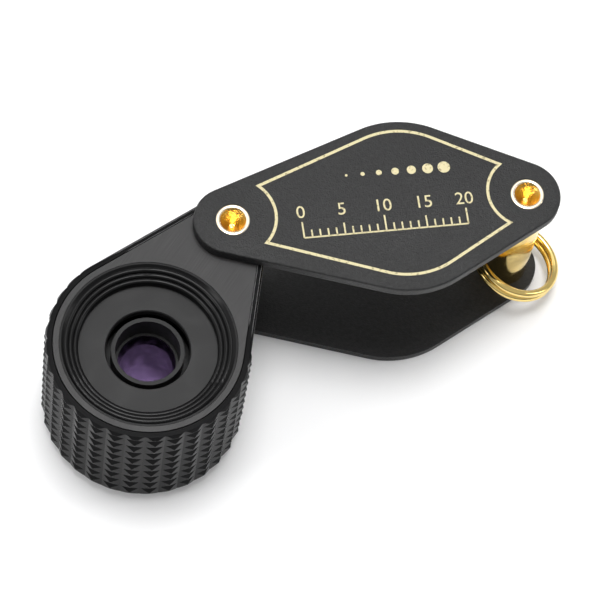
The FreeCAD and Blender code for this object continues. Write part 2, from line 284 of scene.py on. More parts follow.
def smooth_tree():
    """Join a mesh's corners, shade it smooth and keep its real edges sharp."""
    inputs = {"Geometry": GEOMETRY, "Join Distance": FLOAT, "Sharp Angle": FLOAT}
    outputs = {"Geometry": GEOMETRY}
    tree, given, result = new_group("GeometryNodeTree", "joined_smooth_faces", inputs, outputs)
    corners_in = {"Geometry": given["Geometry"], "Distance": given["Join Distance"]}
    joined = add(tree, "GeometryNodeMergeByDistance", corners_in).outputs["Geometry"]
    faces_in = {0: joined, "Shade Smooth": True}
    smooth = add(tree, "GeometryNodeSetShadeSmooth", faces_in, domain="FACE").outputs[0]
    edge_angle = add(tree, "GeometryNodeInputMeshEdgeAngle").outputs["Unsigned Angle"]
    is_sharp = calc(tree, "GREATER_THAN", edge_angle, given["Sharp Angle"])
    edges_in = {0: smooth, "Selection": is_sharp, "Shade Smooth": False}
    split = add(tree, "GeometryNodeSetShadeSmooth", edges_in, domain="EDGE").outputs[0]
    feed(tree, result["Geometry"], split)
    return tree


shading_tree = smooth_tree()
shading_keys = input_keys(shading_tree)
for name, thing in nodes.items():
    shading = thing.modifiers.new("smooth_faces", "NODES")
    shading.node_group = shading_tree
    shading[shading_keys["Join Distance"]] = JOIN_DISTANCE
    shading[shading_keys["Sharp Angle"]] = HEAD_SHARP_ANGLE if name == "head_body" else SHARP_ANGLE
print("shading set on", len(nodes), "pieces")

# %% [markdown]
# Several effects come back on more than one finish, so each is a node group. A group
# gives out only numbers and normals. The shader stays in the material, where each finish
# sets its own values. The first is a fine grain: small bumps, and a slower speckle for
# colour. Sizes are real lengths, and one over a size is the scale of a Noise Texture.

# %% Fine grain
VECTOR = "NodeSocketVector"
GRAIN_DETAIL = 3.0
SPECKLE_SHARE = 0.4


def noise(tree, detail, **inputs):
    """Smooth noise from 0 to 1, along one line where only W is given."""
    dimensions = "1D" if "W" in inputs else "3D"
    sockets = {"Detail": detail, **inputs}
    return add(tree, "ShaderNodeTexNoise", sockets, noise_dimensions=dimensions).outputs["Fac"]


def grain_group():
    """Fine bumps of a given size, and a slower speckle for colour."""
    inputs = {"Place": VECTOR, "Grain Size": FLOAT}
    outputs = {"Height": FLOAT, "Speckle": FLOAT}
    tree, given, result = new_group("ShaderNodeTree", "fine_grain", inputs, outputs)
    fine = calc(tree, "DIVIDE", 1.0, given["Grain Size"])
    slow = calc(tree, "MULTIPLY", fine, SPECKLE_SHARE)
    feed(tree, result["Height"], noise(tree, GRAIN_DETAIL, Vector=given["Place"], Scale=fine))
    feed(tree, result["Speckle"], noise(tree, GRAIN_DETAIL, Vector=given["Place"], Scale=slow))
    return tree


GRAIN = grain_group()
print("effect:", GRAIN.name)

# %% [markdown]
# Brushing leaves strokes that are long one way and hair-fine the other. Noise becomes
# strokes when its coordinates are divided by a long length along X and by a small width
# across it.

# %% Brush strokes
STREAK_DETAIL = 2.0


def strokes_group():
    """Brush strokes along X, of a given width and length."""
    inputs = {"Place": VECTOR, "Stroke Width": FLOAT, "Stroke Length": FLOAT}
    tree, given, result = new_group("ShaderNodeTree", "brush_strokes", inputs, {"Strokes": FLOAT})
    across = calc(tree, "DIVIDE", 1.0, given["Stroke Width"])
    along = calc(tree, "DIVIDE", 1.0, given["Stroke Length"])
    stretch = add(tree, "ShaderNodeCombineXYZ", {"X": along, "Y": across, "Z": across}).outputs[0]
    factors = {0: given["Place"], 1: stretch}
    drawn = add(tree, "ShaderNodeVectorMath", factors, operation="MULTIPLY").outputs[0]
    feed(tree, result["Strokes"], noise(tree, STREAK_DETAIL, Vector=drawn, Scale=1.0))
    return tree


STROKES = strokes_group()
print("effect:", STROKES.name)

# %% [markdown]
# A lathe leaves rings. Noise along a single line, read at the distance from the axis,
# is the same all the way round. The height is added to that distance, so an upright wall
# gets rings too.

# %% Turning rings
def from_axis(tree, place, x=0.0):
    """The distance from the upright axes at (x, 0) and (-x, 0), whichever is nearer."""
    parts = add(tree, "ShaderNodeSeparateXYZ", {0: place}).outputs
    across = calc(tree, "SUBTRACT", calc(tree, "ABSOLUTE", parts["X"]), x)
    squares = calc(tree, "ADD", calc(tree, "POWER", across, 2.0), calc(tree, "POWER", parts["Y"], 2.0))
    return calc(tree, "SQRT", squares)


def rings_group():
    """Turning marks round Z, of a given width."""
    inputs = {"Place": VECTOR, "Ring Width": FLOAT}
    tree, given, result = new_group("ShaderNodeTree", "turning_rings", inputs, {"Rings": FLOAT})
    height = add(tree, "ShaderNodeSeparateXYZ", {0: given["Place"]}).outputs["Z"]
    along = calc(tree, "ADD", from_axis(tree, given["Place"]), height)
    counted = calc(tree, "DIVIDE", along, given["Ring Width"])
    feed(tree, result["Rings"], noise(tree, STREAK_DETAIL, W=counted, Scale=1.0))
    return tree


RINGS = rings_group()
print("effect:", RINGS.name)

# %% [markdown]
# Fingers leave soft patches that change a surface's gloss. Slow noise makes them, bent a
# little so they don't look round, and only its upper part counts.

# %% Handled patches
PATCH_NOISE = (0.42, 0.68)
PATCH_DETAIL = 4.0
PATCH_BEND = 0.6


def patches_group():
    """Soft patches, from 0 where the surface is clean to 1 where it was handled."""
    inputs = {"Place": VECTOR, "Patch Size": FLOAT}
    tree, given, result = new_group("ShaderNodeTree", "handled_patches", inputs, {"Patches": FLOAT})
    scale = calc(tree, "DIVIDE", 1.0, given["Patch Size"])
    clouds = noise(tree, PATCH_DETAIL, Vector=given["Place"], Scale=scale, Distortion=PATCH_BEND)
    feed(tree, result["Patches"], ranged(tree, clouds, *PATCH_NOISE))
    return tree


PATCHES = patches_group()
print("effect:", PATCHES.name)

# %% [markdown]
# No real edge is a knife's. Coating is thinnest on a corner and is rubbed there first.
# The Bevel node looks how the surface turns nearby. Its normal rounds the edge for the
# light, and where it differs from the true normal there is an edge, which makes a mask.

# %% Rounded and rubbed edges
BEVEL_SAMPLES = 6
EDGE_TURN = (0.997, 0.95)


def edges_group():
    """A normal that is rounded at the edges, and a mask of the edges themselves."""
    outputs = {"Normal": VECTOR, "Edges": FLOAT}
    tree, given, result = new_group("ShaderNodeTree", "soft_edges", {"Edge Radius": FLOAT}, outputs)
    radius = {"Radius": given["Edge Radius"]}
    rounded = add(tree, "ShaderNodeBevel", radius, samples=BEVEL_SAMPLES).outputs["Normal"]
    true_normal = add(tree, "ShaderNodeNewGeometry").outputs["Normal"]
    feed(tree, result["Normal"], rounded)
    feed(tree, result["Edges"], ranged(tree, nearness(tree, rounded, true_normal), *EDGE_TURN))
    return tree


EDGES = edges_group()
print("effect:", EDGES.name)

# %% [markdown]
# Every finish starts alike: a Principled shader and the piece's Object coordinates, which
# stay with it when it moves. What is the same all over, such as the index of refraction
# (IOR), is set on the shader's own sockets. Bumps are given as real depths in metres, so
# they can be judged like any other size.

# %% How a finish starts
def start_material(name, **constants):
    """A Principled material, its tree, its shader and the piece's own coordinates."""
    material = bpy.data.materials.new(name)
    material.use_nodes = True
    tree = material.node_tree
    shader = tree.nodes["Principled BSDF"]
    for socket_name, value in constants.items():
        feed(tree, shader.inputs[socket_name.replace("_", " ")], value)
    place = add(tree, "ShaderNodeTexCoord").outputs["Object"]
    return material, tree, shader, place


def use_group(tree, group, **given):
    """Place a node group in a material; input names are written with underscores."""
    inputs = {name.replace("_", " "): value for name, value in given.items()}
    return add(tree, "ShaderNodeGroup", inputs, node_tree=group).outputs


def patchy(tree, place, patch_size, clean, handled):
    """A value that drifts between a clean and a handled surface, in soft patches."""
    patches = use_group(tree, PATCHES, Place=place, Patch_Size=patch_size)["Patches"]
    return ranged(tree, patches, 0, 1, clean, handled)


def bumped(tree, shader, height, depth, normal=None):
    """Give the shader a bump of a real depth, over a rounded normal if there is one."""
    inputs = {"Distance": depth, "Height": height}
    if normal is not None:
        inputs["Normal"] = normal
    feed(tree, shader.inputs["Normal"], add(tree, "ShaderNodeBump", inputs).outputs["Normal"])


print("a finish uses:", [helper.__name__ for helper in (start_material, use_group, patchy, bumped)])

# %% [markdown]
# The covers are sheet steel under a fine matt powder coat. The coat is melted powder, so
# it is slightly lumpy rather than scratched. Its colour hardly changes, but its gloss
# does, and its rim is rubbed a touch smoother.

# %% Powder coat
COAT_SPECKLE = ((0.0, 0.0, 0.0), (0.021, 0.021, 0.0215))
COAT_GRAIN = 0.18 * MM
COAT_LUMPS = 0.1 * MM
COAT_EDGE = 0.12 * MM
COAT_PATCH = 9 * MM
COAT_GLOSS = (0.47, 0.41)
RUBBED_GLOSS = -0.06


def powder_coat():
    """Black powder coat: lumpy, faintly speckled, smoother where it was handled."""
    material, tree, shader, place = start_material("powder_coat_black", IOR=1.42)
    grain = use_group(tree, GRAIN, Place=place, Grain_Size=COAT_GRAIN)
    edges = use_group(tree, EDGES, Edge_Radius=COAT_EDGE)
    rubbed = calc(tree, "MULTIPLY", edges["Edges"], RUBBED_GLOSS)
    gloss = calc(tree, "ADD", patchy(tree, place, COAT_PATCH, *COAT_GLOSS), rubbed)
    feed(tree, shader.inputs["Base Color"], mixed(tree, grain["Speckle"], *COAT_SPECKLE, "RGBA"))
    feed(tree, shader.inputs["Roughness"], gloss)
    bumped(tree, shader, grain["Height"], COAT_LUMPS, edges["Normal"])
    return material


finishes = {"cover": powder_coat()}
print("finish:", finishes["cover"].name)

# %% [markdown]
# Some finishes follow the head rather than the case. A Mapping node turns or shifts a
# piece's coordinates. The lens axis and the pivot give the head's own direction, so brush
# strokes follow the head at any angle, and turned rings run round the lens.

# %% The head's own directions
joints = {joint["name"]: joint for joint in frame["record"]["behaviour"]["joints"]}
PIVOT = Vector(joints["lens_swing"]["pos_m"])
lens_low, lens_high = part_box("upper_crown_lens")
LENS_AXIS = (lens_low + lens_high) / 2
HEAD_TURN = math.atan2(LENS_AXIS.y - PIVOT.y, LENS_AXIS.x - PIVOT.x)


def along_head(tree, place):
    """The piece's coordinates turned so that X runs along the head."""
    inputs = {"Vector": place, "Rotation": (0, 0, HEAD_TURN)}
    return add(tree, "ShaderNodeMapping", inputs, vector_type="TEXTURE").outputs["Vector"]


def round_lens(tree, place):
    """The piece's coordinates measured from the lens axis."""
    inputs = {"Vector": place, "Location": (LENS_AXIS.x, LENS_AXIS.y, 0)}
    return add(tree, "ShaderNodeMapping", inputs, vector_type="TEXTURE").outputs["Vector"]


print("head runs at", round(math.degrees(HEAD_TURN), 1), "degrees")

# %% [markdown]
# The head is turned, knurled and anodised black. The dyed layer looks deep black from the
# front and bright at a glancing angle, which a low index of refraction and a low
# roughness give together. The edges of the knurl's crests are painted paler, partly as
# rubbed wear and partly as a painted highlight that stands for the glints on its ridges.
# Its grooves are not, so the edge mask only counts near the crests' own radius.

# %% Black anodised metal
# Pure black, and the paler colour of the crests' edges: part rubbed wear, part painted highlight.
HEAD_WEAR_AND_PAINTED_GLINT = ((0.003, 0.003, 0.0033), (0.3, 0.3, 0.305))
HEAD_GRAIN = 0.09 * MM
HEAD_BUMPS = 0.006 * MM
HEAD_EDGE = 0.09 * MM
HEAD_PATCH = 5 * MM
HEAD_GLOSS = (0.23, 0.17)
CREST_RADIUS = 12.38 * MM
RUBBED_DEPTH = 0.3 * MM


def anodised_head():
    """Black anodised metal whose knurl's crest edges are painted paler: rubbed wear and a painted
    highlight.
    """
    material, tree, shader, place = start_material("anodised_black", IOR=1.145)
    grain = use_group(tree, GRAIN, Place=place, Grain_Size=HEAD_GRAIN)
    edges = use_group(tree, EDGES, Edge_Radius=HEAD_EDGE)
    radius = from_axis(tree, round_lens(tree, place))
    crests = ranged(tree, radius, CREST_RADIUS - RUBBED_DEPTH, CREST_RADIUS)
    # Painted highlight and wear: the crests' edges are painted paler where the ridges glint.
    worn_and_glinting = calc(tree, "MULTIPLY", crests, edges["Edges"])
    feed(tree, shader.inputs["Base Color"], mixed(tree, worn_and_glinting, *HEAD_WEAR_AND_PAINTED_GLINT, "RGBA"))
    feed(tree, shader.inputs["Roughness"], patchy(tree, place, HEAD_PATCH, *HEAD_GLOSS))
    bumped(tree, shader, grain["Height"], HEAD_BUMPS, edges["Normal"])
    return material


finishes["head"] = anodised_head()
print("finish:", finishes["head"].name)

# %% [markdown]
# The face plates are brushed along the head before they are anodised. Their strokes are
# a faint change of colour and two thousandths of a millimetre of depth, which is enough
# to draw a highlight out across them.

# %% Brushed plate
PLATE_STROKES = ((0.012, 0.0116, 0.012), (0.024, 0.0232, 0.0238))
STROKE_RANGE = (0.3, 0.7)
STROKE_WIDTH = 0.07 * MM
STROKE_LENGTH = 5 * MM
STROKE_DEPTH = 0.002 * MM
PLATE_EDGE = 0.06 * MM
PLATE_PATCH = 7 * MM
PLATE_GLOSS = (0.4, 0.33)


def brushed_plate():
    """Black anodised plate, brushed along the head."""
    material, tree, shader, place = start_material("brushed_black", IOR=1.38)
    size = {"Stroke_Width": STROKE_WIDTH, "Stroke_Length": STROKE_LENGTH}
    strokes = use_group(tree, STROKES, Place=along_head(tree, place), **size)["Strokes"]
    edges = use_group(tree, EDGES, Edge_Radius=PLATE_EDGE)
    tone = ranged(tree, strokes, *STROKE_RANGE)
    feed(tree, shader.inputs["Base Color"], mixed(tree, tone, *PLATE_STROKES, "RGBA"))
    feed(tree, shader.inputs["Roughness"], patchy(tree, place, PLATE_PATCH, *PLATE_GLOSS))
    bumped(tree, shader, strokes, STROKE_DEPTH, edges["Normal"])
    return material


finishes["face_plate"] = brushed_plate()
print("finish:", finishes["face_plate"].name)

# %% [markdown]
# The funnel, the stop disc, the barrel and its retainers are turned on a lathe. Their
# rings are too fine to see one by one, but they pull a highlight out across themselves.
# One function makes all four finishes, which differ in blackness, gloss and ring size.

# %% Turned black pieces
TURNED_PATCH = 4 * MM
HANDLED_SMOOTHER = 0.04
CLEAN_ROUGHER = 0.03


def turned_black(name, dark, light, roughness, index, ring_width, depth, edge_radius):
    """A turned black finish: rings round the lens, between two tones of black."""
    material, tree, shader, place = start_material(name, IOR=index)
    rings = use_group(tree, RINGS, Place=round_lens(tree, place), Ring_Width=ring_width)["Rings"]
    edges = use_group(tree, EDGES, Edge_Radius=edge_radius)
    gloss = patchy(tree, place, TURNED_PATCH, roughness + CLEAN_ROUGHER, roughness - HANDLED_SMOOTHER)
    feed(tree, shader.inputs["Base Color"], mixed(tree, rings, dark, light, "RGBA"))
    feed(tree, shader.inputs["Roughness"], gloss)
    bumped(tree, shader, rings, depth, edges["Normal"])
    return material


finishes["trim_ring"] = turned_black(
    "funnel_black", dark=(0.002, 0.002, 0.0022), light=(0.004, 0.004, 0.0043), roughness=0.24,
    index=1.26, ring_width=0.05 * MM, depth=0.002 * MM, edge_radius=0.05 * MM,
)
finishes["stop_disc"] = turned_black(
    "disc_black", dark=(0.007, 0.007, 0.0073), light=(0.01, 0.01, 0.0103), roughness=0.42,
    index=1.33, ring_width=0.04 * MM, depth=0.0008 * MM, edge_radius=0.04 * MM,
)
finishes["barrel"] = turned_black(
    "barrel_black", dark=(0.012, 0.012, 0.0123), light=(0.02, 0.02, 0.0205), roughness=0.4,
    index=1.26, ring_width=0.06 * MM, depth=0.002 * MM, edge_radius=0.04 * MM,
)
finishes["retainer"] = turned_black(
    "retainer_black", dark=(0.004, 0.004, 0.004), light=(0.008, 0.008, 0.008), roughness=0.5,
    index=1.4, ring_width=0.05 * MM, depth=0.002 * MM, edge_radius=0.03 * MM,
)
print("finishes so far:", sorted(finishes))

# %% [markdown]
# The posts and the split ring are brass under a thin bright gilding, and the washers are
# plain brass. A mirror finish gets its look from the room, so the material stays simple:
# hair-fine scratches, and a slow change of gloss and tone.

# %% Gilding and brass
GOLD = (0.9, 0.68, 0.25)
BRASS = (0.6, 0.45, 0.2)
SCRATCH_WIDTH = 0.05 * MM
SCRATCH_LENGTH = 0.9 * MM
POST_ROUGHNESS = 0.1
RING_ROUGHNESS = 0.09
BRASS_ROUGHNESS = 0.3
GILDING_SCRATCH = 0.0006 * MM
BRASS_SCRATCH = 0.002 * MM
GILDING_PATCH = 1.6 * MM
DEEPER_TONE = 0.9
DULLED = 0.07


def gilding(name, color, roughness, depth):
    """Bright metal with hair-fine scratches, a little duller and deeper in patches."""
    material, tree, shader, place = start_material(name, Metallic=1.0)
    size = {"Stroke_Width": SCRATCH_WIDTH, "Stroke_Length": SCRATCH_LENGTH}
    scratches = use_group(tree, STROKES, Place=place, **size)["Strokes"]
    patches = use_group(tree, PATCHES, Place=place, Patch_Size=GILDING_PATCH)["Patches"]
    deep = tuple(share * DEEPER_TONE for share in color)
    feed(tree, shader.inputs["Base Color"], mixed(tree, patches, color, deep, "RGBA"))
    feed(tree, shader.inputs["Roughness"], ranged(tree, patches, 0, 1, roughness, roughness + DULLED))
    bumped(tree, shader, scratches, depth)
    return material


finishes["split_ring"] = gilding("gilded_ring", GOLD, RING_ROUGHNESS, GILDING_SCRATCH)
finishes["washer"] = gilding("washer_brass", BRASS, BRASS_ROUGHNESS, BRASS_SCRATCH)
print("finishes:", finishes["split_ring"].name, finishes["washer"].name)

# %% [markdown]
# Each post's end is spread with a punch, which leaves a burnished rim round a rougher cone.
# The rim's pale, near-white colour is a painted highlight. Light goes to and fro in the
# cone, so it looks a deeper amber, and that amber is painted into the cone's colour. Both
# show at a known distance from the post's own axis, and that distance makes the masks.

# %% Punched ends
POST_X = abs(PIVOT.x)
CONE_RADIUS = 1.58 * MM
RIM_RADIUS = 2.1 * MM
# The rim's pale colour is a painted highlight, and the cone's deeper amber is painted for the light going
# to and fro in it.
RIM_PAINTED_HIGHLIGHT = (1.0, 0.9, 0.7)
CONE_PAINTED_AMBER = (0.84, 0.55, 0.15)
CONE_GRAIN = 0.3 * MM
CONE_BUMPS = 0.06 * MM


def gilded_posts(name, color):
    """Gilding with the rim and the cone that a punch leaves on both posts' ends, painted with a pale
    highlight on the rim and a deeper amber in the cone.
    """
    material = gilding(name, color, POST_ROUGHNESS, GILDING_SCRATCH)
    tree = material.node_tree
    shader = tree.nodes["Principled BSDF"]
    gilded = shader.inputs["Base Color"].links[0].from_socket
    scratched = shader.inputs["Normal"].links[0].from_socket
    place = add(tree, "ShaderNodeTexCoord").outputs["Object"]
    radius = from_axis(tree, place, POST_X)
    cone = calc(tree, "LESS_THAN", radius, CONE_RADIUS)
    rim = calc(tree, "LESS_THAN", radius, RIM_RADIUS)
    grain = use_group(tree, GRAIN, Place=place, Grain_Size=CONE_GRAIN)
    # Painted highlight on the rim, painted deeper amber in the cone.
    ends = mixed(tree, cone, RIM_PAINTED_HIGHLIGHT, CONE_PAINTED_AMBER, "RGBA")
    feed(tree, shader.inputs["Base Color"], mixed(tree, rim, gilded, ends, "RGBA"))
    bumped(tree, shader, calc(tree, "MULTIPLY", grain["Height"], cone), CONE_BUMPS, scratched)
    return material


finishes["post"] = gilded_posts("gilded_posts", GOLD)
print("finish:", finishes["post"].name)

# %% [markdown]
# The lens is clear glass. Its colour comes from the coating, which kills the middle of
# the spectrum in the mirrored light, so the mirrored soft box is violet. A tint on the
# mirrored light does the same. The dark colour inside is painted shade for the light that
# such a strong lens bends into the barrel's black wall. A real doublet mirrors the box in
# several surfaces at once, and a slightly flattened normal gives that broad patch.

# %% Glass
GLASS_PATCH = 1.2 * MM
GLASS_GLOSS = (0.08, 0.2)


def lens_glass(name, painted_shade_tint, mirror_tint, index, flatten):
    """Coated glass; a dark body colour is painted shade for what is seen through it, and flatten turns its
    normal that share of the way up.
    """
    # The glass's body colour: where it is dark, it is painted shade for the light lost inside the barrel.
    colors = {"Base_Color": painted_shade_tint, "Specular_Tint": mirror_tint}
    material, tree, shader, place = start_material(name, IOR=index, Transmission_Weight=1.0, **colors)
    feed(tree, shader.inputs["Roughness"], patchy(tree, place, GLASS_PATCH, *GLASS_GLOSS))
    if flatten:
        true_normal = add(tree, "ShaderNodeNewGeometry").outputs["Normal"]
        turned_up = mixed(tree, flatten, true_normal, UP, "VECTOR")
        unit = add(tree, "ShaderNodeVectorMath", {0: turned_up}, operation="NORMALIZE").outputs[0]
        feed(tree, shader.inputs["Normal"], unit)
    return material


finishes["coated_lens"] = lens_glass(
    "violet_glass", painted_shade_tint=(0.34, 0.28, 0.4), mirror_tint=(0.66, 0.42, 0.95), index=1.46, flatten=0.92,
)
finishes["inner_lens"] = lens_glass(
    "clear_glass", painted_shade_tint=(0.96, 0.97, 0.98), mirror_tint=(0.8, 0.6, 1.0), index=1.6, flatten=0.0,
)
print("glass:", finishes["coated_lens"].name, finishes["inner_lens"].name)

# %% [markdown]
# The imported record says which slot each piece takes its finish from. A material slot is
# all that changes on a CAD piece: its mesh and its place stay as they are.

# %% Finishes for every slot
slots = {part["node"]: part["material_slot"] for part in frame["record"]["subparts"]}
for name, thing in nodes.items():
    thing.data.materials.clear()
    thing.data.materials.append(finishes[slots[name]])
print("finishes on", len(nodes), "pieces:", sorted({slots[name] for name in nodes}))

# %% [markdown]
# The upper cover is printed in gold ink. A line follows the cover's outline, and at
# both ends it bends round the rivet. The path is a formula: an arc round each rivet,
# and two sides that run straight to an arc round the belly.

# %% The border's path
# Each end arc has its middle's x, its radius and half the distance between its corners.
END_ARCS = ((-18 * MM, 5.25 * MM, 3.8 * MM), (18 * MM, 4.8 * MM, 3.95 * MM))
# The belly arc has its middle's x and its radius.
BELLY = (2.7 * MM, 9.6 * MM)
ARC_STEPS = 28


def arc_points(middle_x, radius, start, end):
    """Points on an arc round (middle_x, 0)."""
    turns = [start + (end - start) * index / ARC_STEPS for index in range(ARC_STEPS + 1)]
    return [(middle_x + radius * math.cos(turn), radius * math.sin(turn)) for turn in turns]


def touch_turn(point, middle_x, radius, side):
    """The turn, round a circle, of the point where a line from outside touches it."""
    away = (point[0] - middle_x, point[1])
    return math.atan2(away[1], away[0]) + side * math.acos(radius / math.hypot(*away))


def border_points():
    """The border, once round, and the places of its four sharp corners."""
    (left_x, left_radius, left_half), (right_x, right_radius, right_half) = END_ARCS
    left_turn = math.asin(left_half / left_radius)
    right_turn = math.asin(right_half / right_radius)
    left = arc_points(left_x, left_radius, -left_turn, left_turn)
    right = arc_points(right_x, right_radius, math.pi - right_turn, math.pi + right_turn)
    top_start = touch_turn(left[-1], *BELLY, -1)
    top_end = touch_turn(right[0], *BELLY, 1)
    top = arc_points(*BELLY, top_start, top_end)
    bottom = [(x, -y) for x, y in reversed(top)]
    path = left + top + right + bottom
    right_first = len(left) + len(top)
    return path, {0, len(left) - 1, right_first, right_first + len(right) - 1}


border, sharp_corners = border_points()
print("border:", len(border), "points, corners", sorted(sharp_corners))

# %% [markdown]
# Screen ink is opaque and matt, and it lies on the coat's small lumps, so dark specks
# show through where it is thin.

# %% Gold ink
INK_SPECKS = ((0.64, 0.57, 0.33), (0.3, 0.25, 0.13))
SPECK_RANGE = (0.52, 0.7)
INK_GRAIN = 0.16 * MM
INK_BUMPS = 0.008 * MM
INK_GLOSS = (0.5, 0.62)
GRAIN_RANGE = (0.3, 0.7)


def gold_ink():
    """Matt gold ink with small dark specks."""
    material, tree, shader, place = start_material("gold_ink")
    grain = use_group(tree, GRAIN, Place=place, Grain_Size=INK_GRAIN)
    thin = ranged(tree, grain["Speckle"], *SPECK_RANGE)
    feed(tree, shader.inputs["Base Color"], mixed(tree, thin, *INK_SPECKS, "RGBA"))
    feed(tree, shader.inputs["Roughness"], ranged(tree, grain["Height"], *GRAIN_RANGE, *INK_GLOSS))
    bumped(tree, shader, grain["Height"], INK_BUMPS)
    return material


INK = gold_ink()
print("ink:", INK.name)

# %% [markdown]
# Everything printed is made by a Geometry Nodes tree that runs once. The tree's inputs
# have plain names, but a modifier only knows their identifiers, so they are looked up.
# The evaluated object then gives a plain mesh, which is laid on the cover, half of its
# height proud of it, because two faces in the same place would flicker. The whole print
# sits a little off the cover's middle line.

# %% From a tree to a printed mesh
COVER_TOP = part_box("upper_cover")[1].z
PRINT_SHIFT = 0.37 * MM
INK_HEIGHT = 0.02 * MM
MATERIAL = "NodeSocketMaterial"


def node_object(name, base, tree, **given):
    """Run a Geometry Nodes tree on an object and keep the result as a plain mesh."""
    modifier = base.modifiers.new(tree.name, "NODES")
    modifier.node_group = tree
    keys = input_keys(tree)
    for key, value in {"Ink_Height": INK_HEIGHT, "Ink": INK, **given}.items():
        modifier[keys[key.replace("_", " ")]] = value
    bpy.context.view_layer.update()
    evaluated = base.evaluated_get(bpy.context.evaluated_depsgraph_get())
    mesh = bpy.data.meshes.new_from_object(evaluated)
    mesh.name = name
    bpy.data.objects.remove(base)
    made = bpy.data.objects.new(name, mesh)
    bpy.context.scene.collection.objects.link(made)
    return made


def printed(thing, corner):
    """Lay an inked piece on the cover and let it ride with the case."""
    for vertex in thing.data.vertices:
        vertex.co += Vector((corner[0], corner[1] + PRINT_SHIFT, COVER_TOP))
    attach(thing, "case")
    print(thing.name, "has", len(thing.data.polygons), "faces")


def inked_end(tree, shape, given, result):
    """The last steps of each tree: real geometry, which the export needs, and its ink."""
    real = add(tree, "GeometryNodeRealizeInstances", {0: shape}).outputs[0]
    inked = add(tree, "GeometryNodeSetMaterial", {"Geometry": real, "Material": given["Ink"]})
    feed(tree, result["Geometry"], inked.outputs[0])


print("print lies at z =", round(COVER_TOP / MM, 3), "mm")

# %% [markdown]
# A printed line is a sweep: a flat rectangle drawn along a path. One tree makes the
# border and the scale's rule. It has named inputs, so a line's width can be changed
# without touching the tree. The path's own radius widens the line where it has to be.

# %% Inked line
def inked_line_tree():
    """Draw a flat rectangle of ink along a curve."""
    inputs = {"Geometry": GEOMETRY, "Line Width": FLOAT, "Ink Height": FLOAT, "Ink": MATERIAL}
    tree, given, result = new_group("GeometryNodeTree", "inked_line", inputs, {"Geometry": GEOMETRY})
    sides = {"Width": given["Line Width"], "Height": given["Ink Height"]}
    section = add(tree, "GeometryNodeCurvePrimitiveQuadrilateral", sides).outputs[0]
    path = add(tree, "GeometryNodeSetCurveNormal", {"Curve": given["Geometry"]}, mode="Z_UP").outputs[0]
    wider = add(tree, "GeometryNodeInputRadius").outputs[0]
    sweep_in = {"Curve": path, "Profile Curve": section, "Scale": wider, "Fill Caps": True}
    swept = add(tree, "GeometryNodeCurveToMesh", sweep_in).outputs[0]
    flat = add(tree, "GeometryNodeSetShadeSmooth", {0: swept, "Shade Smooth": False}).outputs[0]
    inked_end(tree, flat, given, result)
    return tree


line_tree = inked_line_tree()
print("tree:", line_tree.name)

# %% [markdown]
# The border follows its path once round. At a sharp corner a sweep gets narrower, so the
# path's radius grows there by one over the cosine of half the turn, which gives a mitred
# corner of full width.

# %% Gold border
BORDER_WIDTH = 0.36 * MM


def curve_object(points, radii, closed=True):
    """A poly curve through flat points, with a radius at each."""
    data = bpy.data.curves.new("path", "CURVE")
    data.dimensions = "3D"
    spline = data.splines.new("POLY")
    spline.points.add(len(points) - 1)
    for point, (x, y), radius in zip(spline.points, points, radii):
        point.co = (x, y, 0, 1)
        point.radius = radius
    spline.use_cyclic_u = closed
    made = bpy.data.objects.new("path", data)
    bpy.context.scene.collection.objects.link(made)
    return made


def corner_radius(points, index):
    """One over the cosine of half the path's turn at a point."""
    before, here, after = (Vector(points[step % len(points)]) for step in (index - 1, index, index + 1))
    return 1 / math.cos((here - before).angle(after - here) / 2)


radii = [corner_radius(border, index) if index in sharp_corners else 1.0 for index in range(len(border))]
border_line = node_object("border_line", curve_object(border, radii), line_tree, Line_Width=BORDER_WIDTH)
printed(border_line, (0, 0))

# %% [markdown]
# Inside the border stands a plain millimetre scale with a row of dots that grow, which
# sizes what lies beside it. Both are repeats that follow a rule, so one function builds
# a tree for each: a line of points, with a copy of a small block or disc on every point.
# The point's number decides the copy's size.

# %% A copy on every point
INTEGER = "NodeSocketInt"


def repeat_tree(name, extra_inputs, copy_kind, copy_shift, copy_scale):
    """A tree that puts a copy on each point of a line; copy_scale gives its X, Y and Z."""
    inputs = {"Geometry": GEOMETRY, "Count": INTEGER, "Step": FLOAT, "Ink Height": FLOAT, "Ink": MATERIAL}
    for extra in extra_inputs:
        inputs[extra] = FLOAT
    tree, given, result = new_group("GeometryNodeTree", name, inputs, {"Geometry": GEOMETRY})
    step = add(tree, "ShaderNodeCombineXYZ", {"X": given["Step"]}).outputs[0]
    line = add(tree, "GeometryNodeMeshLine", {"Count": given["Count"], "Offset": step}).outputs[0]
    number = add(tree, "GeometryNodeInputIndex").outputs[0]
    size = add(tree, "ShaderNodeCombineXYZ", dict(enumerate(copy_scale(tree, given, number)))).outputs[0]
    copy = add(tree, copy_kind).outputs["Mesh"]
    shifted = add(tree, "GeometryNodeTransform", {"Geometry": copy, "Translation": copy_shift}).outputs[0]
    placed = {"Points": line, "Instance": shifted, "Scale": size}
    copies = add(tree, "GeometryNodeInstanceOnPoints", placed).outputs[0]
    inked_end(tree, copies, given, result)
    return tree


def empty_base():
    """An object with an empty mesh, for a tree that makes everything itself."""
    made = bpy.data.objects.new("base", bpy.data.meshes.new("base"))
    bpy.context.scene.collection.objects.link(made)
    return made


print("repeats use:", repeat_tree.__name__)

# %% [markdown]
# The scale has a tick each millimetre. The remainder of the tick's number by five and by
# ten decides its length, and the block is moved up by half itself first, so every tick
# stands on the rule and grows away from it.

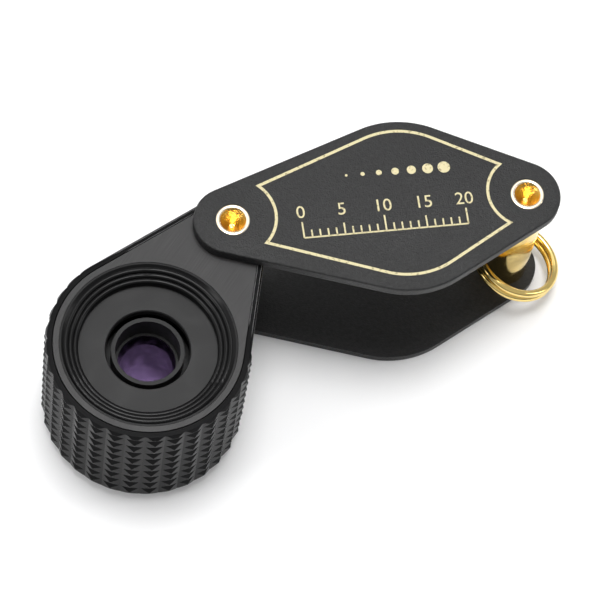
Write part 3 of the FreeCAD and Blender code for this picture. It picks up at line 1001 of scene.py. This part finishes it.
# %% Ticks and rule
SCALE_START = Vector((-9.8 * MM, -3.6 * MM))
SCALE_LENGTH = 20
TICK_WIDTH = 0.2 * MM
SHORT_TICK = 1.0 * MM
MIDDLE_TICK = 1.55 * MM
LONG_TICK = 2.1 * MM
STANDS_ON_RULE = (0, 0.5, 0)
NEAR_ZERO = 0.1


def every(tree, number, step):
    """1 at each number that the step divides, and 0 elsewhere."""
    return calc(tree, "COMPARE", calc(tree, "MODULO", number, step), 0.0, NEAR_ZERO)


def tick_scale(tree, given, number):
    """Width, length and height of a tick: longer at every fifth, longest at every tenth."""
    length = mixed(tree, every(tree, number, 5.0), given["Short"], given["Middle"])
    length = mixed(tree, every(tree, number, 10.0), length, given["Long"])
    return given["Tick Width"], length, given["Ink Height"]


tick_inputs = ("Tick Width", "Short", "Middle", "Long")
tick_tree = repeat_tree("scale_ticks", tick_inputs, "GeometryNodeMeshCube", STANDS_ON_RULE, tick_scale)
ticks = node_object(
    "scale_ticks", empty_base(), tick_tree, Count=SCALE_LENGTH + 1, Step=MM,
    Tick_Width=TICK_WIDTH, Short=SHORT_TICK, Middle=MIDDLE_TICK, Long=LONG_TICK,
)
printed(ticks, SCALE_START)
rule_path = curve_object([(0, 0), (SCALE_LENGTH * MM, 0)], [1, 1], closed=False)
rule = node_object("scale_rule", rule_path, line_tree, Line_Width=TICK_WIDTH)
printed(rule, SCALE_START)

# %% [markdown]
# Each dot's radius is larger than the last one's by the same growth. Blender's cylinder
# is two units high, so half the ink's height is its scale.

# %% Growing dots
DOT_COUNT = 7
DOT_STEP = 2.0 * MM
FIRST_DOT = Vector((-3.6 * MM, 4.2 * MM))
FIRST_DOT_RADIUS = 0.16 * MM
DOT_GROWTH = 0.1 * MM
NOT_SHIFTED = (0, 0, 0)


def dot_scale(tree, given, number):
    """Radius, radius and height of a dot: each is larger than the last by one growth."""
    radius = calc(tree, "MULTIPLY_ADD", number, given["Growth"], given["First Radius"])
    return radius, radius, calc(tree, "MULTIPLY", given["Ink Height"], 0.5)


dot_inputs = ("First Radius", "Growth")
dot_tree = repeat_tree("growing_dots", dot_inputs, "GeometryNodeMeshCylinder", NOT_SHIFTED, dot_scale)
dots = node_object(
    "growing_dots", empty_base(), dot_tree, Count=DOT_COUNT, Step=DOT_STEP,
    First_Radius=FIRST_DOT_RADIUS, Growth=DOT_GROWTH,
)
printed(dots, FIRST_DOT)

# %% [markdown]
# The numbers are text made into mesh. Text is a curve: its extrusion gives the ink its
# thickness, and the evaluated object gives a mesh. Merging its doubles closes the seams
# between the letters' faces and their rims.

# %% Numbers
NUMBER_EVERY = 5
NUMBER_SIZE = 2.3 * MM
NUMBER_GAP = 0.55 * MM
LETTER_STEPS = 4

number_mesh = bmesh.new()
for value in range(0, SCALE_LENGTH + 1, NUMBER_EVERY):
    letters = bpy.data.curves.new("number", "FONT")
    letters.body = str(value)
    letters.size = NUMBER_SIZE
    letters.align_x = "CENTER"
    letters.extrude = INK_HEIGHT / 2
    letters.resolution_u = LETTER_STEPS
    thing = bpy.data.objects.new("number", letters)
    bpy.context.scene.collection.objects.link(thing)
    bpy.context.view_layer.update()
    evaluated = thing.evaluated_get(bpy.context.evaluated_depsgraph_get())
    flat_number = bpy.data.meshes.new_from_object(evaluated)
    flat_number.transform(Matrix.Translation((value * MM, LONG_TICK + NUMBER_GAP, 0)))
    number_mesh.from_mesh(flat_number)
    bpy.data.objects.remove(thing)
bmesh.ops.remove_doubles(number_mesh, verts=number_mesh.verts, dist=JOIN_DISTANCE)
joined_numbers = bpy.data.meshes.new("scale_numbers")
number_mesh.to_mesh(joined_numbers)
joined_numbers.materials.clear()
joined_numbers.materials.append(INK)
numbers = bpy.data.objects.new("scale_numbers", joined_numbers)
bpy.context.scene.collection.objects.link(numbers)
printed(numbers, SCALE_START)
